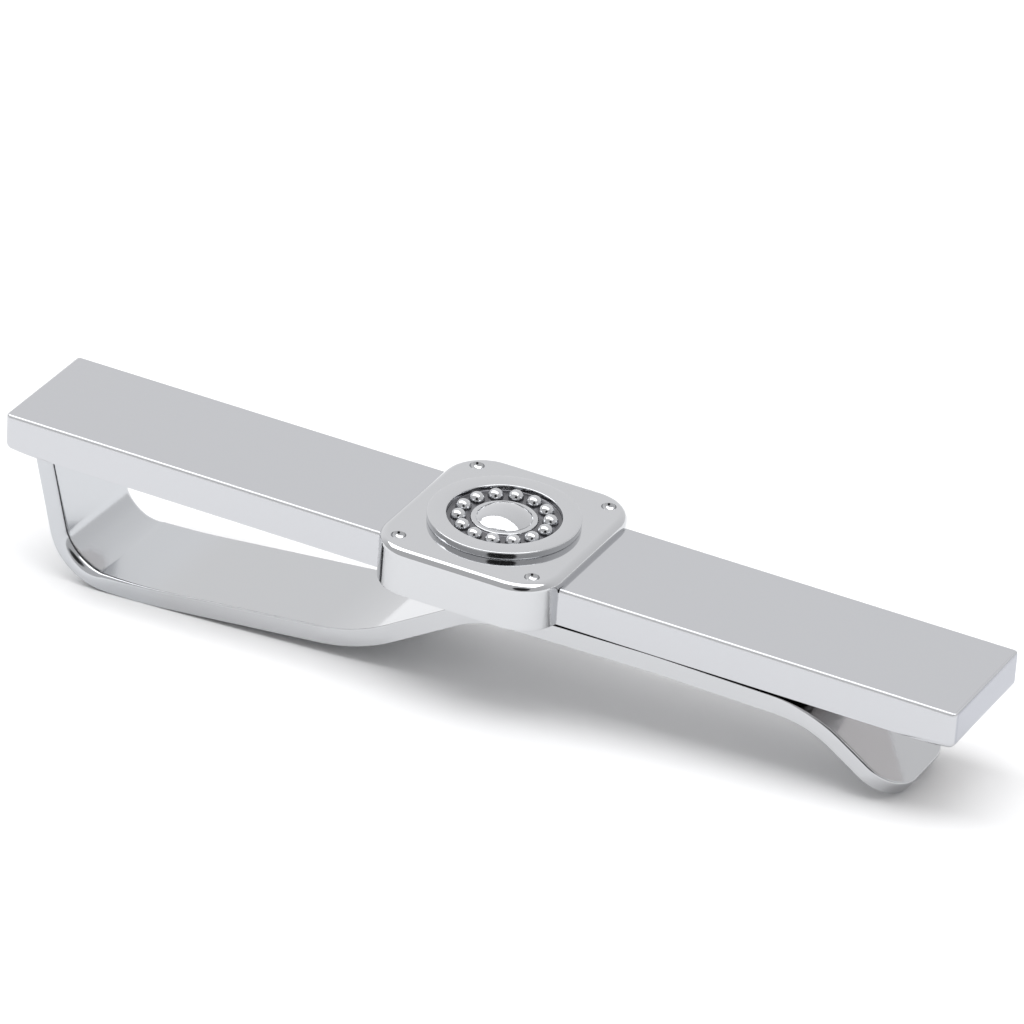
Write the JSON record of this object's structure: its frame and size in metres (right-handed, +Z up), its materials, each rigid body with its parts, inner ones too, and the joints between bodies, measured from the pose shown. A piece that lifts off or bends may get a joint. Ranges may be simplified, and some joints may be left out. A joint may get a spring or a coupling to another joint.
{
  "type": "tie clip",
  "caption": "Slide-on tie clip: a flat bevelled bar with a stepped, beaded ornament at its middle, and a bent spring strip behind it that grips a tie to the shirt.",
  "frame": {"origin": "middle of the clip's outline seen from above, at the level of the surface it lies on", "axes": "+X runs along the bar from the strip's fixed end to the open end, +Z is up with the clip lying on its strip and the bar's face uppermost, +Y is across the bar away from the camera"},
  "size_m": [0.055, 0.0112, 0.0093],
  "materials": {
    "bar_metal": "polished, rhodium-coloured plating on brass",
    "ornament_metal": "polished, rhodium-coloured plating on brass",
    "strip_metal": "polished, rhodium-coloured plating on hard-rolled brass",
    "solder": "silver solder under the plating"
  },
  "bodies": {
    "leaf_body": {"clip_leaf": "strip_metal"},
    "bar_body": {"front_bar": "bar_metal", "emblem_plate": "ornament_metal", "emblem_disc": "ornament_metal", "centre_stud": "ornament_metal", "clip_leg": "strip_metal", "solder_fillets": "solder"}
  },
  "joints": [
    {"name": "strip_flex", "type": "hinge", "parent": "leaf_body", "child": "bar_body", "pos_m": [-0.02119, 0, 0.00052], "axis": [0, -1, 0], "range_deg": [0, 5.5], "stiffness_Nm_per_rad": 3.3, "springref_deg": -1.15}
  ]
}
